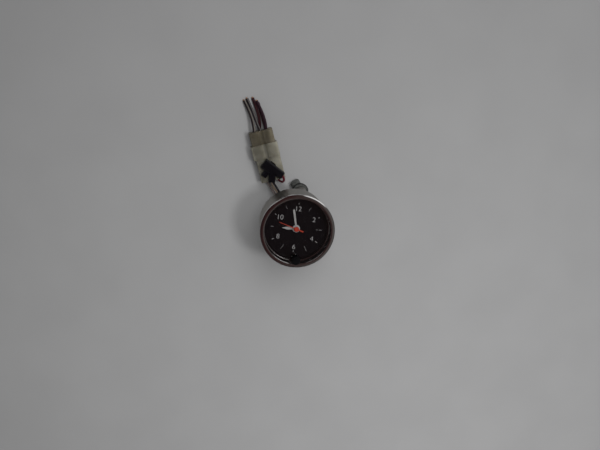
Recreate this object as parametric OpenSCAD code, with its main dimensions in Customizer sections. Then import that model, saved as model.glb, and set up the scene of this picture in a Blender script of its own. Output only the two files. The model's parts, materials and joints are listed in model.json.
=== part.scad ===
// Round quartz dashboard clock with its short stub of cut wiring.
// The origin lies on the clock's axis in the plane of the bezel's rear face, where the clock
// meets the dashboard. +Z points out of the dial, +Y to twelve o'clock and +X to three o'clock.
// The clock stands on its back: on the two fixing studs and on the lamp holder.

/* [Bezel and glass] */
// Outer diameter of the chromed bezel
bezel_d = 56.4; // [54:0.2:60]
// Width of the bezel's bead, seen from the front
bezel_w = 3.2; // [2.8:0.1:3.8]
// Thickness of the bezel's outer wall
bezel_sheet = 0.65; // [0.5:0.05:0.8]
// Thickness of the edge rolled under the can's flange
bezel_hook_t = 0.75; // [0.6:0.05:1]
// Height of the bezel's bead over the glass
bezel_lip_t = 1.0; // [0.8:0.1:1.4]
// Thickness of the glass
lens_t = 1.8; // [1.5:0.1:2.5]
// Thickness of the rubber ring under the glass
gasket_t = 0.8; // [0.6:0.1:1.2]

/* [Can] */
// How far the bezel stands out beyond the can's side
can_step = 1.4; // [1.3:0.1:2]
// Wall of the steel can
can_wall = 0.7; // [0.5:0.1:0.9]
// Depth of the neck rolled into the can's mouth for the bezel's edge
can_neck = 0.3; // [0.25:0.05:0.4]
// Thickness of the can's front flange
can_flange_t = 0.8; // [0.6:0.1:1]
// Rounding of the can's rear shoulder
shoulder_r = 3.0; // [2.5:0.1:4]
// Free room between the movement and the can's back
rear_room = 0.6; // [0.4:0.1:4]
// Wall of the moulded ring that holds the movement and the dial
ring_wall = 1.0; // [0.8:0.1:1.2]

/* [Dial and hands] */
// Depth of the dial under the glass
dial_depth = 9.0; // [8.4:0.1:10]
// Thickness of the dial
dial_t = 0.8; // [0.5:0.1:1]
// Width of the chromed ring that is seen round the dial
reflector_w = 2.5; // [2.2:0.1:3]
// Sheet thickness of the chromed ring
reflector_t = 0.6; // [0.4:0.1:0.8]
// Length of the hour hand
hour_hand_l = 11.0; // [9:0.2:13]
// Length of the minute hand
minute_hand_l = 15.5; // [13:0.2:17]
// Length of the second hand
second_hand_l = 14.3; // [12:0.2:17]
// Length of the second hand's tail
second_tail_l = 5.8; // [4:0.2:7]
// Thickness of a hand
hand_t = 0.4; // [0.3:0.05:0.5]
// Height of the hour hand over the dial
hour_hand_lift = 0.7; // [0.6:0.1:1.6]
// Free room between two hands
hand_gap = 0.5; // [0.4:0.1:1.2]
// Diameter of the coloured cap on the second hand
cap_d = 3.9; // [3.4:0.1:5]
// Height of the coloured cap
cap_h = 1.1; // [0.8:0.1:1.6]

/* [Movement] */
// Tooth module of the first wheel pair between the plates
train_module = 0.22; // [0.2:0.01:0.23]
// Height of the space for the hour and minute wheels under the dial
motion_space = 4.4; // [4.4:0.1:5]
// Thickness of the front plate
front_plate_t = 1.2; // [1:0.1:1.5]
// Clear height between the plates
plate_gap = 9.0; // [9:0.1:11]
// Thickness of the back plate
back_plate_t = 1.0; // [0.8:0.1:1.4]
// Diameter of the back plate
back_plate_d = 32.0; // [30:0.5:33]
// Height between the back plate and the circuit board
board_gap = 2.2; // [2.2:0.1:3]
// Thickness of the circuit board
board_t = 1.0; // [0.8:0.1:1.6]
// Thickness of a toothed wheel
wheel_t = 0.8; // [0.6:0.1:0.9]
// Diameter of the second hand's arbor
arbor_d = 1.0; // [0.9:0.05:1.1]
// Diameter of the pillars
pillar_d = 2.6; // [2.2:0.1:3]
// Diameter of the plate screws
screw_d = 1.6; // [1.2:0.1:1.6]
// Height of the plate screws' heads
screw_head_h = 0.9; // [0.7:0.1:1.2]

/* [Setting knob] */
// Distance of the stem's axis inside the edge of the dial's opening
stem_inset = 2.3; // [2.2:0.1:3]
// Direction of the stem from the clock's centre
stem_angle = -88; // [-95:1:-80]
// Diameter of the stem
stem_d = 2.2; // [1.8:0.1:2.4]
// Travel of the knob when it is pushed in
push_travel = 1.8; // [1.5:0.1:1.9]
// Diameter of the knob
knob_d = 6.4; // [5:0.1:6.6]
// Height of the knob
knob_h = 3.6; // [3:0.1:5]
// Wire diameter of the return spring
spring_wire_d = 0.45; // [0.3:0.05:0.45]
// Mean diameter of the return spring
spring_d = 3.5; // [3.4:0.05:3.6]
// Curls of the return spring
spring_curls = 5; // [4:1:5]

/* [Fixing studs] */
// Diameter of the studs
stud_d = 4.0; // [3:0.5:5]
// Length of the studs behind the can
stud_length = 26.0; // [22:0.5:32]
// Distance between the studs
stud_spacing = 36.0; // [34:0.5:37]
// Distance of the studs below the clock's axis
stud_drop = 10.0; // [8:0.5:10]

/* [Lamp] */
// Direction of the lamp from the clock's centre
lamp_angle = 75; // [70:1:80]
// Outer diameter of the lamp's tube
lamp_tube_d = 9.0; // [8.8:0.1:9.6]
// Wall of the lamp's tube
lamp_tube_wall = 0.6; // [0.5:0.1:0.8]
// Diameter of the lamp holder's flange
holder_flange_d = 12.2; // [11.4:0.1:12.8]
// Thickness of the lamp holder's flange
holder_flange_t = 1.0; // [0.8:0.1:1.4]
// Diameter of the rubber washer under the flange
lamp_washer_d = 13.4; // [13:0.1:14]
// Thickness of the rubber washer
lamp_washer_t = 1.2; // [1:0.1:1.6]
// Diameter of the holder's side barrel
barrel_d = 8.0; // [7:0.1:8.6]
// Reach of the side barrel from the lamp's axis
barrel_l = 9.0; // [8.4:0.1:12]
// Direction of the side barrel
barrel_angle = 128; // [115:1:140]
// Diameter of the bulb's glass
bulb_d = 5.0; // [4.6:0.1:5.2]

/* [Connector] */
// Width of the receptacle's body
receptacle_w = 19.8; // [18.8:0.1:20.2]
// Length of the receptacle's body
receptacle_l = 19.0; // [17:0.5:24]
// Width of the plug's body
plug_w = 19.0; // [18.6:0.1:20]
// Length of the plug's body
plug_l = 11.0; // [10:0.5:14]
// Height of both bodies
body_h = 11.0; // [10.6:0.1:12]
// Width of the hood round the joint
hood_w = 21.6; // [21.2:0.1:23]
// Height of the hood
hood_h = 13.0; // [12.8:0.1:14]
// Length of the hood
hood_l = 11.0; // [10:0.5:14]
// Wall of the hood
hood_wall = 1.4; // [1.2:0.1:1.6]
// Depth of the groove along the middle of hood and plug
groove_depth = 0.6; // [0.3:0.1:0.8]
// Distance between the contacts across the connector
contact_pitch = 4.8; // [4.6:0.1:5.6]
// Distance between the two rows of contacts
contact_row = 4.8; // [4.6:0.1:5.2]
// Depth of a wire's hole
socket_l = 8.0; // [7:0.5:8]

/* [Wires] */
// Diameter of the three leads
lead_d = 1.8; // [1.5:0.1:2]
// Diameter of the cut wires
tail_d = 2.4; // [1.8:0.1:2.6]

/* [Hidden] */
$fn = 96;
eps = 0.01;
// Radial play of a running fit
run_gap = 0.05;
// Play of a loose seat
seat_gap = 0.1;
// Room between pieces that must not touch
air_gap = 0.3;

// Front stack, from the dashboard's plane upwards
bezel_r = bezel_d / 2;
can_r = bezel_r - can_step;
can_in_r = can_r - can_wall;
can_neck_r = can_r - can_neck;
can_neck_z = -0.1;
pocket_r = bezel_r - bezel_sheet;
flange_z = bezel_hook_t + run_gap;
flange_top = flange_z + can_flange_t;
lens_z = flange_top + gasket_t;
lens_top = lens_z + lens_t;
bezel_h = lens_top + bezel_lip_t;
glass_r = pocket_r - seat_gap;

// Dial and movement stack, from the dial downwards
dial_top = lens_z - dial_depth;
dial_z = dial_top - dial_t;
dial_r = can_in_r - seat_gap;
opening_r = can_in_r - reflector_w;
front_plate_top = dial_z - motion_space;
front_plate_z = front_plate_top - front_plate_t;
back_plate_top = front_plate_z - plate_gap;
back_plate_z = back_plate_top - back_plate_t;
back_plate_r = back_plate_d / 2;
board_top = back_plate_z - board_gap;
board_z = board_top - board_t;
board_r = back_plate_r + 1;
screw_head_z = board_z - screw_head_h;
can_floor = screw_head_z - rear_room;
can_back = can_floor - can_wall;
floor_z = can_back - stud_length;

// The moulded ring stands in the rounded corner of the can
ring_r = can_in_r - seat_gap;
ring_in_r = ring_r - ring_wall;
corner_in_r = shoulder_r - can_wall;
corner_mid_r = can_r - shoulder_r;
corner_mid_z = can_back + shoulder_r;
ring_z = corner_mid_z - sqrt(pow(corner_in_r, 2) - pow(ring_r - corner_mid_r, 2)) + run_gap;
ledge_w = 1.4;
ledge_t = 1.2;

// Arbors and fits of the hands
arbor_r = arbor_d / 2;
tube_in_r = arbor_r + run_gap;
tube_r = tube_in_r + 0.55;
pipe_in_r = tube_r + run_gap;
pipe_r = pipe_in_r + 0.55;
dial_hole_r = pipe_r + air_gap;
pivot_r = 0.4;
pivot_l = 0.6;
hand_fit = 0.03;
hour_hand_z = dial_top + hour_hand_lift;
minute_hand_z = hour_hand_z + hand_t + hand_gap;
second_hand_z = minute_hand_z + hand_t + hand_gap;
hour_hub_r = 2.9;
minute_hub_r = 2.75;
second_hub_r = 1.6;

// Hand angles at rest, clockwise from twelve: nearly three minutes to nine
hour_hand_angle = 268.9;
minute_hand_angle = 346.8;
second_hand_angle = 288;

// Teeth
pressure_angle = 20;
addendum = 0.8;
dedendum = 1.05;
tooth_play = 0.18;
setting_play = 0.5;
rotor_teeth = 10;
second_teeth = 60;
second_pinion_teeth = 8;
third_teeth = 60;
third_pinion_teeth = 8;
centre_teeth = 64;
cannon_teeth = 10;
minute_teeth = 30;
minute_pinion_teeth = 8;
hour_teeth = 32;
idler_teeth = 26;
setting_teeth = 20;

// Places of the wheels, seen from the front
rotor_angle = 20;
third_angle = 150;
rotor_dist = train_module * (rotor_teeth + second_teeth) / 2;
third_dist = train_module * (second_pinion_teeth + third_teeth) / 2;
centre_module = 2 * third_dist / (third_pinion_teeth + centre_teeth);
stem_rho = opening_r - stem_inset;
motion_half_teeth = (cannon_teeth + 2 * minute_teeth + 2 * idler_teeth + setting_teeth) / 2;
motion_module = stem_rho / motion_half_teeth;
minute_dist = motion_module * (cannon_teeth + minute_teeth) / 2;
idler_dist = minute_dist + motion_module * (minute_teeth + idler_teeth) / 2;
rotor_pos = polar(rotor_dist, rotor_angle);
third_pos = polar(third_dist, third_angle);
minute_pos = polar(minute_dist, stem_angle);
idler_pos = polar(idler_dist, stem_angle);
stem_pos = polar(stem_rho, stem_angle);

// Profile shift that keeps the small pinions from being undercut
rotor_shift = small_pinion_shift(rotor_teeth);
second_pinion_shift = small_pinion_shift(second_pinion_teeth);
third_pinion_shift = small_pinion_shift(third_pinion_teeth);
cannon_shift = small_pinion_shift(cannon_teeth);
minute_pinion_shift = small_pinion_shift(minute_pinion_teeth);

// Turn of each toothed piece at rest, so that every pair is in mesh
second_phase = 0;
rotor_phase = mesh_phase(rotor_angle, second_phase, second_teeth, rotor_teeth);
second_pinion_phase = 0;
third_phase = mesh_phase(third_angle, second_pinion_phase, second_pinion_teeth, third_teeth);
third_pinion_phase = 0;
centre_phase = mesh_phase(third_angle + 180, third_pinion_phase, third_pinion_teeth, centre_teeth);
cannon_phase = 0;
minute_phase = mesh_phase(stem_angle, cannon_phase, cannon_teeth, minute_teeth);
minute_pinion_phase = 0;
hour_phase = mesh_phase(stem_angle + 180, minute_pinion_phase, minute_pinion_teeth, hour_teeth);
idler_phase = mesh_phase(stem_angle, minute_phase, minute_teeth, idler_teeth);
// The stem's pinion is set to the middle of the way that the idler creeps in one minute
idler_creep = 360 / 60 * cannon_teeth / idler_teeth;
setting_phase = mesh_phase(stem_angle, idler_phase - idler_creep / 2, idler_teeth, setting_teeth);

// Heights of the wheels between the plates, from the front plate down
pinion_extra = 0.2;
centre_wheel_z = front_plate_z - 0.6 - wheel_t;
third_wheel_z = centre_wheel_z - 1.4 - wheel_t;
second_wheel_z = third_wheel_z - 1.2 - wheel_t;
stator_t = 1.0;
stator_z = back_plate_top + 1.4;
stator_mid_z = stator_z + stator_t / 2;
rotor_magnet_h = 2.2;
rotor_magnet_r = 2.5;

// Heights of the wheels under the dial, from the front plate up
minute_wheel_z = front_plate_top + 0.8;
hour_wheel_z = minute_wheel_z + wheel_t + 1.0;
post_r = 0.6;
post_top = dial_z - 0.4;

// Stem, spring and knob
stem_r = stem_d / 2;
setting_pinion_t = 0.9;
setting_pinion_z = minute_wheel_z + push_travel;
stem_bottom = front_plate_z - 2.0;
bush_r = stem_r + run_gap + 0.75;
bush_drop = 1.4;
stem_flange_t = 0.8;
stem_flange_r = stem_r + 0.7;
stem_flange_z = lens_z - 0.4 - stem_flange_t;
collar_t = 0.75;
collar_r = spring_d / 2 + 0.85;
collar_z = stem_flange_z - run_gap - collar_t;
knob_z = lens_top + push_travel + air_gap;
knob_r = knob_d / 2;
stem_hole_r = stem_r + air_gap;
knob_flutes = 18;

// Motor, board and pillars
motor_reach = 5.6;
motor_half_w = 7.0;
arm_w = 1.8;
coil_r = 1.7;
coil_core_r = 0.7;
pillar_r = pillar_d / 2;
pillar_rho = back_plate_r - 2;
pillar_angles = [80, 215, 320];
screw_r = screw_d / 2;
screw_play = 0.05;
screw_bite = 4;
chip_size = [7, 5, 1.5];
chip_pos = [-10, -5];
trimmer_r = 2;
trimmer_h = 1.6;
trimmer_pos = [3, -9];
crystal_r = 0.95;
crystal_l = 7;
crystal_pos = [4, -3];

// Lamp, washer and holder, from the floor up
lamp_tube_r = lamp_tube_d / 2;
lamp_bore_r = lamp_tube_r - lamp_tube_wall;
lamp_rho = can_r - lamp_tube_r - 0.2;
lamp_pos = polar(lamp_rho, lamp_angle);
barrel_r = barrel_d / 2;
holder_neck_r = lamp_bore_r - air_gap;
holder_flange_r = holder_flange_d / 2;
holder_collar_r = holder_flange_r - 0.6;
holder_collar_t = 0.6;
washer_z = floor_z + barrel_d + holder_collar_t;
holder_flange_z = washer_z + lamp_washer_t;
lamp_tube_z = holder_flange_z + holder_flange_t;
// A hole in the tube's wall takes the holder's catch
catch_r = 0.8;
catch_drop = 3.8;
catch_angle = 96;
holder_neck_room = 2;
holder_top = can_back - holder_neck_room;
bulb_r = bulb_d / 2;
bulb_base_r = bulb_r + 0.3;
bulb_base_h = 4.9;
bulb_seat = 3.4;
bulb_base_z = holder_top - bulb_seat;
bulb_base_top = bulb_base_z + bulb_base_h;
bulb_reach = 9;
bulb_tip = can_floor + bulb_reach;
lamp_hole_r = bulb_base_r + 0.6;

// Studs and grommet
stud_r = stud_d / 2;
stud_neck_r = stud_r - 0.35;
stud_head_r = stud_r + 0.8;
stud_head_t = 1.0;
stud_flange_r = stud_r + 1.4;
stud_flange_t = 1.0;
stud_runout = 0.5;
stud_tip = 0.6;
grommet_pos = [-8, 13];
grommet_neck_r = 3.6;
grommet_rim_r = 4.4;
grommet_rim_t = 0.8;
grommet_tail_l = 2.2;
lead_spread = 2.3;
lead_r = lead_d / 2;

// The connector lies on the floor: x runs from the clock outwards along it, y to its left
conn_pos = [-17.9, 28.4];
conn_angle = 110;
conn_mid_h = hood_h / 2;
hood_end = receptacle_l + hood_l;
plug_end = hood_end + plug_l;
nose_gap = 0.3;
nose_inset = 1.0;
socket_r = max(lead_d, tail_d) / 2 + 0.6;
contact_r = 0.55;
contact_play = 0.05;
corner_r = 1.2;
// The receptacle's body is set off to the right of the contacts
receptacle_offset = -0.7;
groove_r = 3.0;
// Arms of the tap: where each starts over the receptacle, which way it runs, and its size
splice_turn = 218;
splice_lead_turn = 161;
splice_head = [16.4, 3.8];
splice_head_size = [8.4, 8, 6];
splice_foot = [10.5, -2];
splice_foot_size = [10, 6.2, 5.7];
splice_cross = [14.2, -4];
splice_cross_size = [13.4, 4.4, 4.6];
splice_lead = [9.5, -2];
splice_lead_size = [10.3, 5.4, 5.2];
splice_edge = 0.9;
tail_r = tail_d / 2;
socket_high = conn_mid_h + contact_row / 2;
socket_low = conn_mid_h - contact_row / 2;

// Routes of the leads, from the circuit board through the grommet to the connector.
// Heights are given over the floor, and places along the connector in its own frame.
lead_black_start = [grommet_pos[0] + lead_spread, grommet_pos[1]];
lead_beige_start = grommet_pos;
lead_grey_start = [grommet_pos[0] - lead_spread, grommet_pos[1]];
lead_black_route = concat(
    lead_drop(lead_black_start),
    [over_floor(-6.1, 13.7, 17.4), over_floor(-8.6, 16.6, 15.4), over_floor(-12.7, 21, 14.6)],
    [over_floor(-15.5, 24.7, 14.6), on_connector(-1, 0.2, 14.6), on_connector(1.2, 0.8, 14.6)]);
lead_beige_route = concat(
    lead_drop(lead_beige_start),
    [over_floor(-8.4, 13.4, 16.8), over_floor(-10.2, 15.3, 13), over_floor(-13.2, 18.6, 9)],
    [over_floor(-16.2, 21.8, 6), on_connector(-4, 1.1, 4.6), on_connector(0, 0, socket_low)],
    [on_connector(socket_l, 0, socket_low)]);
lead_grey_route = concat(
    lead_drop(lead_grey_start),
    [over_floor(-10.7, 13.3, 16.5), over_floor(-12.4, 15, 12.6), over_floor(-15, 17.4, 9)],
    [over_floor(-17.9, 20.6, 6), on_connector(-4, 3.5, 4.6)],
    [on_connector(0, contact_pitch, socket_low), on_connector(socket_l, contact_pitch, socket_low)]);
loop_red_route = [
    on_connector(5, -6.4, 14.2), on_connector(2.7, -8.2, 14.2), on_connector(0.3, -8.9, 14.2),
    on_connector(-1.9, -8.6, 12.8), on_connector(-3.2, -7.2, 10.2), on_connector(-2.7, -5.8, 7.2),
    on_connector(-1, -contact_pitch, 5), on_connector(1.2, -contact_pitch, socket_low),
    on_connector(socket_l, -contact_pitch, socket_low)];

// Routes of the cut wires, from the plug's holes down to the floor
tail_start = plug_end - socket_l;
tail_white_route = [
    on_connector(tail_start, contact_pitch, socket_high),
    on_connector(plug_end, contact_pitch, socket_high),
    on_connector(plug_end + 4, 4.4, 8.7), on_connector(plug_end + 9, 4.1, 7.4),
    on_connector(plug_end + 15, 4.5, 5.2), on_connector(plug_end + 20, 5.4, 3.2),
    on_connector(plug_end + 25, 6.4, 1.6)];
tail_black_route = [
    on_connector(tail_start, 0, socket_high),
    on_connector(plug_end, 0, socket_high),
    on_connector(plug_end + 4, 0.8, 8.6), on_connector(plug_end + 9, 1.3, 7.2),
    on_connector(plug_end + 15, 1.9, 5), on_connector(plug_end + 20, 2.7, 3),
    on_connector(plug_end + 26, 3.8, 1.5)];
tail_brown_route = [
    on_connector(tail_start, 0, socket_low),
    on_connector(plug_end, 0, socket_low),
    on_connector(plug_end + 4, -1, 4.2), on_connector(plug_end + 9, -1.7, 4.1),
    on_connector(plug_end + 15, -1.7, 3.2), on_connector(plug_end + 20, -1.3, 2.2),
    on_connector(plug_end + 25.4, -0.8, 1.4)];
tail_red_route = [
    on_connector(tail_start, -contact_pitch, socket_low),
    on_connector(plug_end, -contact_pitch, socket_low),
    on_connector(plug_end + 4, -4.7, 4), on_connector(plug_end + 9, -4.5, 3.2),
    on_connector(plug_end + 14, -4.4, 2), on_connector(plug_end + 18, -4.2, 1.5),
    on_connector(plug_end + 21, -4, 1.4)];
tail_purple_route = [
    on_connector(tail_start, -contact_pitch, socket_high),
    on_connector(plug_end, -contact_pitch, socket_high),
    on_connector(plug_end + 4, -5.3, 8.6), on_connector(plug_end + 9, -5.4, 7.4),
    on_connector(plug_end + 13.5, -5, 5.8), on_connector(plug_end + 18, -4.1, 4.5),
    on_connector(plug_end + 22.6, -3.2, 3.7)];
connector_side = [-sin(conn_angle), cos(conn_angle), 0];
lead_side = [0.7, 0.7, 0];

// A point in the dial's plane at a distance and a direction from the centre
function polar(rho, angle) = [rho * cos(angle), rho * sin(angle)];

// A point at a height over the floor that the clock stands on
function over_floor(x, y, h) = [x, y, floor_z + h];

// A point in the connector's frame, with its height over the floor
function on_connector(along, left, h) = [
    conn_pos[0] + along * cos(conn_angle) - left * sin(conn_angle),
    conn_pos[1] + along * sin(conn_angle) + left * cos(conn_angle),
    floor_z + h];

// The straight first stretch of a lead, from the board out through the grommet
function lead_drop(start) = [
    [start[0], start[1], board_z],
    [start[0], start[1], can_back - grommet_tail_l],
    [start[0], start[1], can_back - grommet_tail_l - 4]];

// Involute geometry, in degrees
function involute(angle) = tan(angle) * 180 / PI - angle;
function small_pinion_shift(teeth) = max(0, 0.85 - teeth * pow(sin(pressure_angle), 2) / 2);
function half_tooth_angle(teeth, shift, play, base_r, r) =
    (PI / 2 + 2 * shift * tan(pressure_angle) - play) / teeth * 180 / PI
    + involute(pressure_angle) - involute(acos(min(1, base_r / r)));

// Turn of a second gear so that it meshes with the first one, which lies at -angle from it
function mesh_phase(angle, first_phase, first_teeth, second_teeth) =
    angle + 180 - 180 / second_teeth + (angle - first_phase) * first_teeth / second_teeth;

// Rings of points round a route, and the faces of the tube through them
function unit(v) = v / norm(v);
function heading(path, i) = unit(path[min(i + 1, len(path) - 1)] - path[max(i - 1, 0)]);
function tube_points(path, r, sides, side) = [
    for (i = [0 : len(path) - 1])
        let (t = heading(path, i), u = unit(cross(t, side)), v = cross(u, t))
            for (k = [0 : sides - 1])
                path[i] + r * (cos(360 * k / sides) * u + sin(360 * k / sides) * v)];
function tube_faces(rings, sides) = concat(
    [[for (k = [0 : sides - 1]) k]],
    [for (i = [0 : rings - 2]) for (k = [0 : sides - 1]) let (n = (k + 1) % sides)
        [i * sides + k, (i + 1) * sides + k, (i + 1) * sides + n]],
    [for (i = [0 : rings - 2]) for (k = [0 : sides - 1]) let (n = (k + 1) % sides)
        [i * sides + k, (i + 1) * sides + n, i * sides + n]],
    [[for (k = [sides - 1 : -1 : 0]) (rings - 1) * sides + k]]);

module wire(path, r, side, sides = 8) {
    polyhedron(tube_points(path, r, sides, side), tube_faces(len(path), sides));
}

module at(pos, z) {
    translate([pos[0], pos[1], z]) children();
}

module in_connector() {
    translate([conn_pos[0], conn_pos[1], floor_z + conn_mid_h]) rotate([0, 0, conn_angle]) children();
}

// A ring-shaped or solid disc between two heights
module ring(z_low, z_high, r_out, r_in) {
    translate([0, 0, z_low]) difference() {
        cylinder(h = z_high - z_low, r = r_out);
        translate([0, 0, -eps]) cylinder(h = z_high - z_low + 2 * eps, r = r_in);
    }
}

module rod(z_low, z_high, r) {
    translate([0, 0, z_low]) cylinder(h = z_high - z_low, r = r);
}

// A toothed wheel's outline
module gear_outline(teeth, module_mm, shift, phase, play = tooth_play) {
    pitch_r = teeth * module_mm / 2;
    base_r = pitch_r * cos(pressure_angle);
    tip_r = pitch_r + (addendum + shift) * module_mm;
    root_r = pitch_r - (dedendum - shift) * module_mm;
    low_r = max(root_r, base_r);
    mid_r = (low_r + tip_r) / 2;
    low_half = half_tooth_angle(teeth, shift, play, base_r, low_r);
    mid_half = half_tooth_angle(teeth, shift, play, base_r, mid_r);
    tip_half = half_tooth_angle(teeth, shift, play, base_r, tip_r);
    polygon([for (k = [0 : teeth - 1]) let (middle = phase + k * 360 / teeth) each [
        polar(root_r, middle - low_half), polar(mid_r, middle - mid_half),
        polar(tip_r, middle - tip_half), polar(tip_r, middle + tip_half),
        polar(mid_r, middle + mid_half), polar(root_r, middle + low_half)]]);
}

// A wheel with round windows between its rim and its hub
module gear_wheel(teeth, module_mm, shift, phase, z, windows = 5) {
    root_r = teeth * module_mm / 2 - (dedendum - shift) * module_mm;
    window_r = root_r * 0.24;
    translate([0, 0, z]) linear_extrude(wheel_t) difference() {
        gear_outline(teeth, module_mm, shift, phase);
        for (k = [0 : windows - 1]) rotate(phase + k * 360 / windows)
            translate([root_r * 0.6, 0]) circle(window_r);
    }
}

module pinion(teeth, module_mm, shift, phase, z_low, z_high, play = tooth_play) {
    translate([0, 0, z_low]) linear_extrude(z_high - z_low)
        gear_outline(teeth, module_mm, shift, phase, play);
}

// Half section of the can's outer or inner form, up to a height
module cup_section(r, bottom, corner, top) {
    translate([0, bottom]) square([r - corner, top - bottom]);
    translate([0, bottom + corner]) square([r, top - bottom - corner]);
    translate([r - corner, bottom + corner]) circle(corner);
}

module rounded_box(length, width, height, corner) {
    rotate([90, 0, 90]) linear_extrude(length) {
        square([width - 2 * corner, height], center = true);
        square([width, height - 2 * corner], center = true);
        for (y = [-1, 1], z = [-1, 1])
            translate([y * (width / 2 - corner), z * (height / 2 - corner)]) circle(corner);
    }
}

// Rods along the connector at every contact's place
module contact_rods(from, to, r) {
    for (y = [-1, 0, 1], z = [-0.5, 0.5])
        translate([from, y * contact_pitch, z * contact_row]) rotate([0, 90, 0])
            cylinder(h = to - from, r = r);
}

// Front of the clock

module bezel() {
    bead_mid = bezel_h - bezel_w / 2;
    color("silver") rotate_extrude() difference() {
        union() {
            translate([bezel_r - bezel_w / 2, bead_mid]) circle(bezel_w / 2);
            translate([bezel_r - bezel_w, 0]) square([bezel_w, bead_mid]);
        }
        translate([0, bezel_hook_t]) square([pocket_r, lens_top - bezel_hook_t]);
        translate([0, -eps]) square([can_neck_r + run_gap, bezel_hook_t + 2 * eps]);
    }
}

module lens() {
    color("lightcyan", 0.3) difference() {
        rod(lens_z, lens_top, glass_r);
        at(stem_pos, lens_z - eps) cylinder(h = lens_t + 2 * eps, r = stem_hole_r);
    }
}

module lens_gasket() {
    color("black") ring(flange_top, lens_z, glass_r, bezel_r - bezel_w + 0.3);
}

// A stepped, funnel-shaped ring from the glass down to the dial
module reflector_ring() {
    top_r = can_in_r - seat_gap - reflector_t;
    step_r = (top_r + opening_r) / 2;
    step_z = (flange_top + dial_top) / 2;
    step_h = 0.3;
    color("silver") rotate_extrude() polygon([
        [top_r, flange_top], [step_r + 0.25, step_z + step_h], [step_r - 0.25, step_z],
        [opening_r, dial_top], [opening_r + reflector_t, dial_top],
        [step_r - 0.25 + reflector_t, step_z - step_h], [step_r + 0.25 + reflector_t, step_z],
        [top_r + reflector_t, flange_top]]);
}

module dial() {
    color("black") difference() {
        ring(dial_z, dial_top, dial_r, dial_hole_r);
        at(stem_pos, dial_z - eps) cylinder(h = dial_t + 2 * eps, r = stem_hole_r);
    }
}

// Case

module can() {
    color("darkgray") difference() {
        rotate_extrude() difference() {
            union() {
                cup_section(can_r, can_back, shoulder_r, can_neck_z);
                translate([0, can_neck_z - eps]) square([can_neck_r, flange_top - can_neck_z + eps]);
                translate([can_in_r, flange_z])
                    square([pocket_r - run_gap - can_in_r, can_flange_t]);
            }
            cup_section(can_in_r, can_floor, corner_in_r, flange_top + eps);
        }
        for (x = [-0.5, 0.5]) at([x * stud_spacing, -stud_drop], can_back - eps)
            cylinder(h = can_wall + 2 * eps, r = stud_neck_r + seat_gap);
        at(lamp_pos, can_back - eps) cylinder(h = shoulder_r, r = lamp_hole_r);
        at(grommet_pos, can_back - eps)
            cylinder(h = can_wall + 2 * eps, r = grommet_neck_r + seat_gap);
    }
}

module movement_ring() {
    color("white") {
        difference() {
            rod(ring_z, dial_z, ring_r);
            rod(ring_z - eps, front_plate_z - ledge_t, ring_in_r);
            rod(front_plate_z - ledge_t - eps, front_plate_z + eps, ring_in_r - ledge_w);
            rod(front_plate_z, dial_z + eps, ring_in_r);
        }
    }
}

// Movement

module front_plate() {
    color("khaki") {
        difference() {
            rod(front_plate_z, front_plate_top, ring_in_r - seat_gap);
            rod(front_plate_z - eps, front_plate_top + eps, tube_r + run_gap);
            at(third_pos, 0) rod(front_plate_z - eps, front_plate_top + eps, pivot_r + run_gap);
            at(rotor_pos, 0) rod(front_plate_z - eps, front_plate_top + eps, pivot_r + run_gap);
            at(stem_pos, 0) rod(front_plate_z - eps, front_plate_top + eps, bush_r + hand_fit);
        }
        at(minute_pos, 0) rod(front_plate_top - eps, post_top, post_r);
        at(idler_pos, 0) rod(front_plate_top - eps, post_top - 1, post_r);
    }
}

module back_plate() {
    color("khaki") difference() {
        rod(back_plate_z, back_plate_top, back_plate_r);
        rod(back_plate_z - eps, back_plate_top + eps, arbor_r + run_gap);
        at(third_pos, 0) rod(back_plate_z - eps, back_plate_top + eps, pivot_r + run_gap);
        at(rotor_pos, 0) rod(back_plate_z - eps, back_plate_top + eps, pivot_r + run_gap);
        for (angle = pillar_angles) at(polar(pillar_rho, angle), 0)
            rod(back_plate_z - eps, back_plate_top + eps, screw_r + seat_gap);
    }
}

module plate_pillars() {
    color("gold") for (angle = pillar_angles) at(polar(pillar_rho, angle), 0) difference() {
        rod(back_plate_top, front_plate_z, pillar_r);
        rod(back_plate_top - eps, back_plate_top + screw_bite + 1, screw_r + screw_play);
    }
}

module board_spacers() {
    color("gold") for (angle = pillar_angles) at(polar(pillar_rho, angle), 0)
        ring(board_top, back_plate_z, pillar_r, screw_r + seat_gap);
}

module plate_screws() {
    slot_w = 0.4;
    color("gainsboro") for (angle = pillar_angles) at(polar(pillar_rho, angle), 0) difference() {
        union() {
            rod(board_z - eps, back_plate_top + screw_bite, screw_r);
            rod(screw_head_z, board_z, pillar_r);
        }
        translate([-pillar_r - eps, -slot_w / 2, screw_head_z - eps])
            cube([2 * pillar_r + 2 * eps, slot_w, screw_head_h / 2]);
    }
}

module circuit_board() {
    color("darkgreen") difference() {
        rod(board_z, board_top, board_r);
        for (angle = pillar_angles) at(polar(pillar_rho, angle), 0)
            rod(board_z - eps, board_top + eps, screw_r + seat_gap);
    }
}

// The timing chip and the trimming capacitor
module board_parts() {
    color("dimgray") at(chip_pos, board_top) cube(chip_size);
    color("peru") at(trimmer_pos, board_top) cylinder(h = trimmer_h, r = trimmer_r);
}

module quartz_crystal() {
    color("silver") at(crystal_pos, board_top + crystal_r) rotate([0, 90, 0])
        cylinder(h = crystal_l, r = crystal_r);
}

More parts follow.
